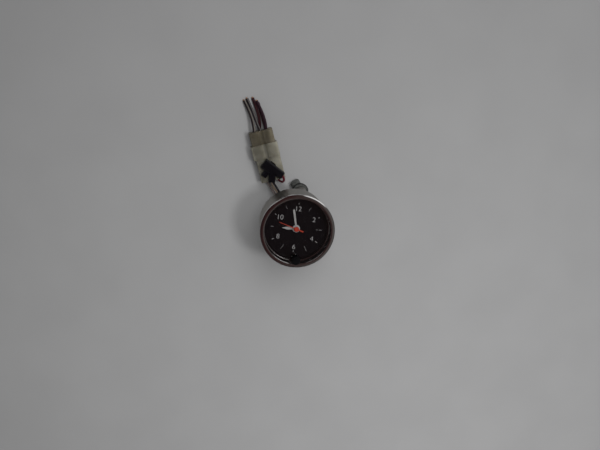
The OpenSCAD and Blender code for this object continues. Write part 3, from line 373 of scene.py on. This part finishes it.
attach(spring, "case")
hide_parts("return_spring")
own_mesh(spring)

# The bezel is rolled from brass sheet and chromed: a broad crown that falls off outwards.
# Its wall leans in a little and hooks under the can's flange, to clamp ring, glass and rubber.
# Leans are in degrees off the upright or the level.
bezel_low, bezel_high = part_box("bezel")
bezel_r = bezel_high.x
foot_r = bezel_r - 0.60 * MM
heel_r = bezel_r - 0.45 * MM
heel_up = 0.15 * MM
pocket_r = bezel_r - 0.65 * MM
hook_r = bezel_r - 1.65 * MM
hook_top = bezel_low.z + 0.75 * MM
glass_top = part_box("lens")[1].z
crown_inner_r = bezel_r - 3.2 * MM
crown_round = 2.93 * MM
crown_r = bezel_r - 2.16 * MM
crown_z = bezel_high.z - crown_round
crown_steps = 16
wall_lean = 6
inner_lean = 15
outer_lean = 42
inner_bend = 0.4 * MM
outer_bend = 0.5 * MM
bend_gap = 2
ring_steps = 128


def bent(mid_r, mid_z, radius, start, end, steps=8):
    """Points round a bend of the sheet, between two angles over the outward direction."""
    turns = [math.radians(start + (end - start) * k / steps) for k in range(steps + 1)]
    return [(mid_r + radius * math.cos(turn), mid_z + radius * math.sin(turn)) for turn in turns]


def bend_height(bend, lean):
    """The height of the middle of a bend that runs into the crown where this leans so much."""
    return crown_z + (crown_round - bend) * math.cos(math.radians(lean))


bezel_foot = [(hook_r, bezel_low.z), (foot_r, bezel_low.z), (heel_r, bezel_low.z + heel_up)]
outer_roll = bent(bezel_r - outer_bend, bend_height(outer_bend, outer_lean), outer_bend,
    -wall_lean, 90 - outer_lean)
crown = bent(crown_r, crown_z, crown_round, 90 - outer_lean + bend_gap, 90 + inner_lean - bend_gap,
    crown_steps)
inner_roll = bent(crown_inner_r + inner_bend, bend_height(inner_bend, inner_lean), inner_bend,
    90 + inner_lean, 180)
bezel_inside = [(crown_inner_r, glass_top), (pocket_r, glass_top), (pocket_r, hook_top),
    (hook_r, hook_top), (hook_r, bezel_low.z)]
bezel_ring = turned("rolled_bezel", bezel_foot + outer_roll + crown + inner_roll + bezel_inside,
    ring_steps)
bpy.ops.object.shade_smooth_by_angle(angle=math.radians(35))
bezel_ring.data.materials.append(grained("bright_chrome", (0.66, 0.655, 0.65), (0.74, 0.735, 0.73),
    6 * MM, (0.05, 0.12), relief=0.02, metal=1.0))
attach(bezel_ring, "case")
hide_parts("bezel")

# A chromed, stepped ring hides the dial's edge, and a flat pane of clear glass lies over it.
# The pane casts no shadow, so that the lamps light the dial as they do through real glass.
dress(grained("satin_chrome", (0.46, 0.455, 0.45), (0.54, 0.535, 0.53), 6 * MM, (0.14, 0.22),
    relief=0.02, metal=1.0), "reflector_ring")
clear_glass = grained("clear_glass", (0.96, 0.97, 0.97), (0.99, 1.0, 1.0), 12 * MM, (0.01, 0.03))
shader_of(clear_glass).inputs["Transmission Weight"].default_value = 1.0
shader_of(clear_glass).inputs["IOR"].default_value = 1.46
dress(clear_glass, "lens")
nodes["lens"].visible_shadow = False

# The six-way connector is moulded in two halves from milky nylon that has yellowed.
# Light goes a little way into it, so that the rows of wires inside show as faint dark lines. Its
# tone also carries painted shade, darker towards the connector's left side.
# Places on it are in millimetres, from the middle of the end that faces the clock.
conn_place = Vector((-17.9, 28.4))
conn_turn = math.radians(110)
conn_half = 11


def put_stops(ramp, stops):
    """Sets a colour ramp to these pairs of position and colour, which run from 0 to 1."""
    ramp.elements[0].color = (*stops[0][1], 1)
    ramp.elements[1].color = (*stops[-1][1], 1)
    for position, colour in stops[1:-1]:
        ramp.elements.new(position).color = (*colour, 1)


def base_tone(finish):
    """The socket that a finish's base colour comes from."""
    return shader_of(finish).inputs["Base Color"].links[0].from_socket


def milky(name, dark, light, shade_and_wire_lines):
    """A cloudy nylon whose tone is scaled by these factors, from the connector's right to its left:
    faint dark lines of the wires inside, and painted shade that darkens the left side.
    """
    finish = grained(name, dark, light, 9 * MM, (0.38, 0.5), relief=0.06)
    tree = finish.node_tree
    shader = shader_of(finish)
    shader.inputs["Subsurface Weight"].default_value = 0.45
    shader.inputs["Subsurface Radius"].default_value = (1.0, 0.85, 0.55)
    shader.inputs["Subsurface Scale"].default_value = 2.5 * MM
    cloudy = base_tone(finish)
    place = tree.nodes.new("ShaderNodeTexCoord")
    aside = tree.nodes.new("ShaderNodeVectorMath")
    aside.operation = "SUBTRACT"
    aside.inputs[1].default_value = (conn_place.x * MM, conn_place.y * MM, 0)
    across = tree.nodes.new("ShaderNodeVectorMath")
    across.operation = "DOT_PRODUCT"
    across.inputs[1].default_value = (-math.sin(conn_turn), math.cos(conn_turn), 0)
    share = tree.nodes.new("ShaderNodeMapRange")
    share.inputs["From Min"].default_value = -conn_half * MM
    share.inputs["From Max"].default_value = conn_half * MM
    # Painted shade: these bands scale the nylon's tone, lower towards the connector's left side,
    # together with the faint lines of the wires inside.
    painted_shade_bands = tree.nodes.new("ShaderNodeValToRGB")
    painted_shade_bands.color_ramp.interpolation = "EASE"
    last = len(shade_and_wire_lines) - 1
    put_stops(painted_shade_bands.color_ramp, [(k / last, (shade_and_wire_line,) * 3) for k, shade_and_wire_line in enumerate(shade_and_wire_lines)])
    mix = tree.nodes.new("ShaderNodeVectorMath")
    mix.operation = "MULTIPLY"
    tree.links.new(place.outputs["Object"], aside.inputs[0])
    tree.links.new(aside.outputs["Vector"], across.inputs[0])
    tree.links.new(across.outputs["Value"], share.inputs["Value"])
    tree.links.new(share.outputs["Result"], painted_shade_bands.inputs["Fac"])
    tree.links.new(cloudy, mix.inputs[0])
    tree.links.new(painted_shade_bands.outputs["Color"], mix.inputs[1])
    tree.links.new(mix.outputs["Vector"], shader.inputs["Base Color"])
    return finish


# These factors paint shade onto the left side of each half and add the faint lines of the wires
# inside.
dress(milky("hooded_nylon", (0.152, 0.142, 0.110), (0.224, 0.214, 0.174),
    (1.3, 0.95, 0.8, 0.5, 0.78, 0.6, 0.55, 0.8)), "connector_receptacle")
dress(milky("plug_nylon", (0.058, 0.050, 0.033), (0.095, 0.083, 0.059),
    (1.5, 1.45, 0.72, 0.8, 1.05, 0.86, 0.75, 1.15)), "connector_plug")
dress(grained("tinned_contacts", (0.50, 0.49, 0.46), (0.66, 0.65, 0.62), 1.5 * MM, (0.25, 0.4),
    relief=0.1, metal=1.0), "connector_contacts")

# The tap is a black moulded clip that is squeezed shut over two wires and joins them.
# It lies on the connector's hooded half, held there by its wires alone.
dress(grained("black_clip", (0.0016, 0.0015, 0.0026), (0.0034, 0.0032, 0.0050), 2 * MM,
    (0.45, 0.6), relief=0.2), "wire_splice")

# Three thin leads drop out of the clock's rubber grommet and bend up to the connector.
# Two go into its holes, and the black one goes to the tap that lies on the connector.
# Their routes are in millimetres: over the floor, and then along and across the connector.
floor_z = stud_low.z
pitch = 4.8
row_high = 8.9
row_low = 4.1
hole_depth = 8
lead_thick = 1.8 * MM
lead_black_x = -5.7
lead_beige_x = -8
lead_grey_x = -10.3
lead_y = 13
board_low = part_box("circuit_board")[0].z
grommet_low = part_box("lead_grommet")[0].z
free_drop = 4 * MM


def over_floor(x, y, height):
    return Vector((x * MM, y * MM, floor_z + height * MM))


def on_connector(along, left, height):
    """A place by its distances along the connector, to its left and over the floor."""
    x = conn_place.x + along * math.cos(conn_turn) - left * math.sin(conn_turn)
    y = conn_place.y + along * math.sin(conn_turn) + left * math.cos(conn_turn)
    return over_floor(x, y, height)


def lead_drop(x):
    """The straight first stretch of a lead, from the board down through the grommet."""
    heights = (board_low, grommet_low, grommet_low - free_drop)
    return [Vector((x * MM, lead_y * MM, height)) for height in heights]


def laid(route, steps=4):
    """A smooth line through the points of a route."""
    ends = [route[0] * 2 - route[1], *route, route[-1] * 2 - route[-2]]
    line = []
    for a, b, c, d in zip(ends, ends[1:], ends[2:], ends[3:]):
        for k in range(steps):
            t = k / steps
            line.append(0.5 * (2 * b + (c - a) * t + (2 * a - 5 * b + 4 * c - d) * t * t
                + (3 * b - a - 3 * c + d) * t ** 3))
    return line + [route[-1]]


def insulated_wire(name, line, thick):
    """A closed round tube along a line, with a map that runs along it and round it."""
    shape = bpy.data.curves.new(name, "CURVE")
    shape.dimensions = "3D"
    shape.bevel_depth = thick / 2
    shape.bevel_resolution = 5
    shape.use_fill_caps = True
    run = shape.splines.new("POLY")
    run.points.add(len(line) - 1)
    for point, place in zip(run.points, line):
        point.co = (*place, 1)
    wire = bpy.data.objects.new(name, shape)
    bpy.context.collection.objects.link(wire)
    pick(wire)
    bpy.ops.object.convert(target="MESH")
    wire = bpy.context.object
    bpy.ops.object.shade_smooth_by_angle(angle=math.radians(50))
    return wire


def insulation(name, dark, light):
    """Soft extruded plastic with a dull shine."""
    finish = grained(name, dark, light, 3 * MM, (0.34, 0.52), relief=0.15)
    shader_of(finish).inputs["Specular IOR Level"].default_value = 0.4
    return finish


black_insulation = insulation("black_insulation", (0.009, 0.008, 0.009), (0.018, 0.016, 0.018))
beige_insulation = insulation("beige_insulation", (0.19, 0.14, 0.105), (0.26, 0.20, 0.155))
grey_insulation = insulation("grey_insulation", (0.10, 0.080, 0.075), (0.15, 0.12, 0.112))
leads = [
    ("lead_black", "black_insulation", black_insulation, "wire_splice", lead_drop(lead_black_x) + [
        over_floor(-6.1, 13.7, 17.4), over_floor(-8.6, 16.6, 15.4), over_floor(-12.7, 21, 14.6),
        over_floor(-15.5, 24.7, 14.6), on_connector(-1, 0.2, 14.6), on_connector(1.2, 0.8, 14.6)]),
    ("lead_beige", "beige_insulation", beige_insulation, "connector_receptacle",
        lead_drop(lead_beige_x) + [
        over_floor(-8.4, 13.4, 16.8), over_floor(-10.2, 15.3, 13), over_floor(-13.2, 18.6, 9),
        over_floor(-16.2, 21.8, 6), on_connector(-4, 1.1, 4.6), on_connector(0, 0, row_low),
        on_connector(hole_depth, 0, row_low)]),
    ("lead_grey", "grey_insulation", grey_insulation, "connector_plug", lead_drop(lead_grey_x) + [
        over_floor(-10.7, 13.3, 16.5), over_floor(-12.4, 15, 12.6), over_floor(-15, 17.4, 9),
        over_floor(-17.9, 20.6, 6), on_connector(-4, 3.5, 4.6), on_connector(0, pitch, row_low),
        on_connector(hole_depth, pitch, row_low)]),
]
for lead_name, lead_slot, lead_finish, lead_end, route in leads:
    line = laid(route)
    lead = insulated_wire(lead_name + "_wire", line, lead_thick)
    lead.data.materials.append(lead_finish)
    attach(lead, "case")
    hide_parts(lead_name)

# A short dark red wire leaves the tap, makes a tight loop and goes back into the connector.
# It has the same thickness of soft, glossy insulation as the leads.
loop_route = [
    on_connector(5.7, -5.8, 14.2), on_connector(5, -6.4, 14.2), on_connector(2.7, -8.2, 14.2),
    on_connector(0.3, -8.9, 14.2), on_connector(-1.9, -8.6, 12.8), on_connector(-3.2, -7.2, 10.2),
    on_connector(-2.7, -5.8, 7.2), on_connector(-1, -pitch, 5), on_connector(1.2, -pitch, row_low),
    on_connector(hole_depth, -pitch, row_low)]
loop_line = laid(loop_route)
loop = insulated_wire("loop_red_wire", loop_line, lead_thick)
loop.data.materials.append(
    insulation("red_insulation", (0.070, 0.005, 0.010), (0.105, 0.010, 0.018)))
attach(loop, "case")
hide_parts("loop_red")

# Five stranded copper wires come out of the connector's far half and were cut off short.
# Each has soft extruded insulation, two with a printed tracer, and a bare copper end.
plug_end = 41
tail_in = plug_end - hole_depth
tail_thick = 2.4 * MM
tail_wall = 0.45 * MM
bare_long = 0.9 * MM
cap_depth = 0.02 * MM


def striped(finish, colour, low, high):
    """Adds a printed tracer that runs along the wire on one side of its map."""
    tree = finish.node_tree
    plain = base_tone(finish)
    place = tree.nodes.new("ShaderNodeUVMap")
    split = tree.nodes.new("ShaderNodeSeparateXYZ")
    over = tree.nodes.new("ShaderNodeMath")
    over.operation = "GREATER_THAN"
    over.inputs[1].default_value = low
    under = tree.nodes.new("ShaderNodeMath")
    under.operation = "LESS_THAN"
    under.inputs[1].default_value = high
    both = tree.nodes.new("ShaderNodeMath")
    both.operation = "MULTIPLY"
    mix = tree.nodes.new("ShaderNodeMix")
    mix.data_type = "RGBA"
    mix.inputs["B"].default_value = (*colour, 1)
    tree.links.new(place.outputs["UV"], split.inputs[0])
    tree.links.new(split.outputs["Y"], over.inputs[0])
    tree.links.new(split.outputs["Y"], under.inputs[0])
    tree.links.new(over.outputs[0], both.inputs[0])
    tree.links.new(under.outputs[0], both.inputs[1])
    tree.links.new(both.outputs[0], mix.inputs["Factor"])
    tree.links.new(plain, mix.inputs["A"])
    tree.links.new(mix.outputs["Result"], shader_of(finish).inputs["Base Color"])
    return finish


copper = grained("copper_strands", (0.26, 0.13, 0.07), (0.44, 0.25, 0.15), 0.5 * MM, (0.35, 0.5),
    relief=0.4, metal=0.3)
white_insulation = striped(
    insulation("white_insulation", (0.10, 0.088, 0.076), (0.155, 0.140, 0.122)),
    (0.012, 0.009, 0.011), 0.0, 0.22)
black_white_insulation = striped(
    insulation("black_white_insulation", (0.010, 0.008, 0.010), (0.020, 0.017, 0.020)),
    (0.095, 0.086, 0.080), 0.21, 0.29)
brown_insulation = insulation("brown_insulation", (0.018, 0.006, 0.0075), (0.032, 0.010, 0.012))
aged_red_insulation = insulation("aged_red_insulation",
    (0.026, 0.005, 0.007), (0.042, 0.009, 0.012))
purple_insulation = insulation("purple_insulation",
    (0.012, 0.0045, 0.0075), (0.020, 0.008, 0.013))
tails = [
    ("tail_white", "white_insulation", white_insulation, pitch, row_high,
        [(4, 4.4, 8.7), (9, 4.1, 7.4), (15, 4.5, 5.2), (20, 5.4, 3.2), (25, 6.4, 1.6)]),
    ("tail_black", "black_insulation", black_white_insulation, 0, row_high,
        [(4, 0.8, 8.6), (9, 1.3, 7.2), (15, 1.9, 5), (20, 2.7, 3), (26, 3.8, 1.5)]),
    ("tail_brown", "brown_insulation", brown_insulation, 0, row_low,
        [(4, -1, 4.2), (9, -1.7, 4.1), (15, -1.7, 3.2), (20, -1.3, 2.2), (25.4, -0.8, 1.4)]),
    ("tail_red", "red_insulation", aged_red_insulation, -pitch, row_low,
        [(4, -4.7, 4), (9, -4.5, 3.2), (14, -4.4, 2), (18, -4.2, 1.5), (21, -4, 1.4)]),
    ("tail_purple", "purple_insulation", purple_insulation, -pitch, row_high,
        [(4, -5.3, 8.6), (9, -5.4, 7.4), (13.5, -5, 5.8), (18, -4.1, 4.5), (22.6, -3.2, 3.7)]),
]
for tail_name, tail_slot, tail_finish, tail_left, tail_row, tail_bends in tails:
    route = [on_connector(along, tail_left, tail_row) for along in (tail_in, plug_end)]
    route += [on_connector(plug_end + along, left, height) for along, left, height in tail_bends]
    line = laid(route)
    tail = insulated_wire(tail_name + "_wire", line, tail_thick)
    tail.data.materials.append(tail_finish)
    tail.data.materials.append(copper)
    out = (line[-1] - line[-2]).normalized()
    bpy.ops.object.mode_set(mode="EDIT")
    bpy.ops.mesh.select_mode(type="FACE")
    bpy.ops.mesh.select_all(action="DESELECT")
    bpy.ops.object.mode_set(mode="OBJECT")
    for face in tail.data.polygons:
        face.select = (face.center - line[-1]).dot(out) > -cap_depth
    bpy.ops.object.mode_set(mode="EDIT")
    bpy.ops.mesh.dissolve_faces()
    bpy.ops.mesh.inset(thickness=tail_wall)
    bpy.ops.mesh.extrude_region_move(TRANSFORM_OT_translate={"value": out * bare_long})
    bpy.ops.mesh.select_more()
    tail.active_material_index = 1
    bpy.ops.object.material_slot_assign()
    bpy.ops.object.mode_set(mode="OBJECT")
    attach(tail, "case")
    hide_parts(tail_name)

# The camera stands where the photograph was taken, above the clock and a little behind it.
# Its place and turn were fitted to the outlines of bezel, dial, knob, lamp holder and connector.
bpy.context.scene.view_settings.view_transform = "Standard"
view_right = Vector((0.98487, 0.11804, 0.12688))
view_up = Vector((-0.08128, 0.96126, -0.26338))
view_back = Vector((-0.15305, 0.24908, 0.95631))
view_place = Vector((-57.85, 101.39, 372.66)) * MM
pick()
bpy.ops.object.camera_add()
camera = bpy.context.object
camera.matrix_world = Matrix.Translation(view_place) @ Matrix(
    (view_right, view_up, view_back)).transposed().to_4x4()
camera.data.sensor_width = 36
camera.data.lens = 31.2
camera.data.clip_start = 0.01
bpy.context.scene.camera = camera

# A small lamp at the right and a broad one behind the clock throw its soft shadows.
# Neither shows in metal or glass, where the room is seen instead.
lamps = [("main_lamp", (0.28, 0.13, 0.95), 0.15, 3.3), ("sky_lamp", (0.02, 0.50, 0.95), 0.6, 6.0)]
for lamp_name, lamp_place, lamp_width, lamp_watts in lamps:
    bpy.ops.object.light_add(type="AREA", location=lamp_place)
    lamp = bpy.context.object
    lamp.name = lamp_name
    lamp.data.shape = "SQUARE"
    lamp.data.size = lamp_width
    lamp.data.energy = lamp_watts
    lamp.rotation_euler = (-Vector(lamp_place)).to_track_quat("-Z", "Y").to_euler()
    lamp.visible_glossy = False
    lamp.visible_transmission = False

# The floor is plain and pale, with a painted pool of light: its colour gets darker with the
# distance from one bright spot.
# It carries the clock's shadows and isn't part of the clock.
painted_light_spot = (0.22, -0.42, 0)
pick()
bpy.ops.mesh.primitive_plane_add(size=6, location=(0, 0, floor_z))
floor = bpy.context.object
floor.name = "floor"
floor_paint = grained("floor_paint", (0.318, 0.318, 0.320), (0.330, 0.330, 0.332), 60 * MM,
    (0.55, 0.65))
floor_tree = floor_paint.node_tree
floor_plain = base_tone(floor_paint)
# Painted light: the floor's colour is scaled down with the distance from the bright spot.
floor_place = floor_tree.nodes.new("ShaderNodeTexCoord")
painted_light_distance = floor_tree.nodes.new("ShaderNodeVectorMath")
painted_light_distance.operation = "DISTANCE"
painted_light_distance.inputs[1].default_value = painted_light_spot
painted_light_falloff = floor_tree.nodes.new("ShaderNodeMapRange")
painted_light_falloff.inputs["From Max"].default_value = 0.8
painted_light_falloff.inputs["To Min"].default_value = 1.5
painted_light_falloff.inputs["To Max"].default_value = 0.61
painted_light_tone = floor_tree.nodes.new("ShaderNodeVectorMath")
painted_light_tone.operation = "SCALE"
floor_tree.links.new(floor_place.outputs["Object"], painted_light_distance.inputs[0])
floor_tree.links.new(painted_light_distance.outputs["Value"], painted_light_falloff.inputs["Value"])
floor_tree.links.new(floor_plain, painted_light_tone.inputs[0])
floor_tree.links.new(painted_light_falloff.outputs["Result"], painted_light_tone.inputs["Scale"])
floor_tree.links.new(painted_light_tone.outputs["Vector"], shader_of(floor_paint).inputs["Base Color"])
floor.data.materials.append(floor_paint)

# The room: an even pale light for matt surfaces, and in mirrors and glass a dark, warm one
# with two soft windows. The camera itself sees a plain grey behind the floor's edge.
# A window is given by its direction, its half width in degrees and its brightness.
room_strength = 0.31
room_grey = (0.16, 0.16, 0.16, 1.0)
mirror_tones = [
    (0.0, (0.018, 0.0075, 0.008)), (0.45, (0.034, 0.0135, 0.0135)),
    (0.6, (0.050, 0.037, 0.035)), (1.0, (0.120, 0.108, 0.105))]
horizon_tone = (0.050, 0.048, 0.047, 1.0)
windows = [((0.54, 0.74, 0.36), 25, 0.85), ((-0.66, 0.74, 0.20), 26, 0.35)]
window_core = 0.6
room = bpy.data.worlds.new("room")
bpy.context.scene.world = room
room.use_nodes = True
room.node_tree.nodes.clear()
room_node = room.node_tree.nodes.new
room_join = room.node_tree.links.new
room_out = room_node("ShaderNodeOutputWorld")
room_light = room_node("ShaderNodeBackground")
room_light.inputs["Color"].default_value = (1.0, 1.0, 1.0, 1.0)
room_light.inputs["Strength"].default_value = room_strength
room_dark = room_node("ShaderNodeBackground")
room_pale = room_node("ShaderNodeBackground")
room_pale.inputs["Color"].default_value = room_grey
room_way = room_node("ShaderNodeTexCoord")
room_split = room_node("ShaderNodeSeparateXYZ")
room_range = room_node("ShaderNodeMapRange")
room_range.inputs["From Min"].default_value = -1.0
room_tones = room_node("ShaderNodeValToRGB")
put_stops(room_tones.color_ramp, mirror_tones)
room_rise = room_node("ShaderNodeMapRange")
room_rise.inputs["From Min"].default_value = 0.25
room_rise.inputs["From Max"].default_value = 0.45
room_above = room_node("ShaderNodeMix")
room_above.data_type = "RGBA"
room_above.inputs["A"].default_value = horizon_tone
room_join(room_way.outputs["Generated"], room_split.inputs[0])
room_join(room_split.outputs["X"], room_range.inputs["Value"])
room_join(room_range.outputs["Result"], room_tones.inputs["Fac"])
room_join(room_split.outputs["Z"], room_rise.inputs["Value"])
room_join(room_rise.outputs["Result"], room_above.inputs["Factor"])
room_join(room_tones.outputs["Color"], room_above.inputs["B"])
room_mirrored = room_above.outputs["Result"]
for window_way, window_half, window_light in windows:
    window_turn = room_node("ShaderNodeVectorMath")
    window_turn.operation = "DOT_PRODUCT"
    window_turn.inputs[1].default_value = Vector(window_way).normalized()
    window_edge = room_node("ShaderNodeMapRange")
    window_edge.interpolation_type = "SMOOTHSTEP"
    window_edge.inputs["From Min"].default_value = math.cos(math.radians(window_half))
    window_edge.inputs["From Max"].default_value = math.cos(math.radians(window_half * window_core))
    window_edge.inputs["To Max"].default_value = window_light
    window_sum = room_node("ShaderNodeVectorMath")
    window_sum.operation = "ADD"
    room_join(room_way.outputs["Generated"], window_turn.inputs[0])
    room_join(window_turn.outputs["Value"], window_edge.inputs["Value"])
    room_join(window_edge.outputs["Result"], window_sum.inputs[0])
    room_join(room_mirrored, window_sum.inputs[1])
    room_mirrored = window_sum.outputs["Vector"]
room_rays = room_node("ShaderNodeLightPath")
room_shiny = room_node("ShaderNodeMath")
room_shiny.operation = "MAXIMUM"
room_mirror = room_node("ShaderNodeMixShader")
room_seen = room_node("ShaderNodeMixShader")
room_join(room_mirrored, room_dark.inputs["Color"])
room_join(room_rays.outputs["Is Glossy Ray"], room_shiny.inputs[0])
room_join(room_rays.outputs["Is Transmission Ray"], room_shiny.inputs[1])
room_join(room_shiny.outputs[0], room_mirror.inputs[0])
room_join(room_light.outputs[0], room_mirror.inputs[1])
room_join(room_dark.outputs[0], room_mirror.inputs[2])
room_join(room_rays.outputs["Is Camera Ray"], room_seen.inputs[0])
room_join(room_mirror.outputs[0], room_seen.inputs[1])
room_join(room_pale.outputs[0], room_seen.inputs[2])
room_join(room_seen.outputs[0], room_out.inputs["Surface"])
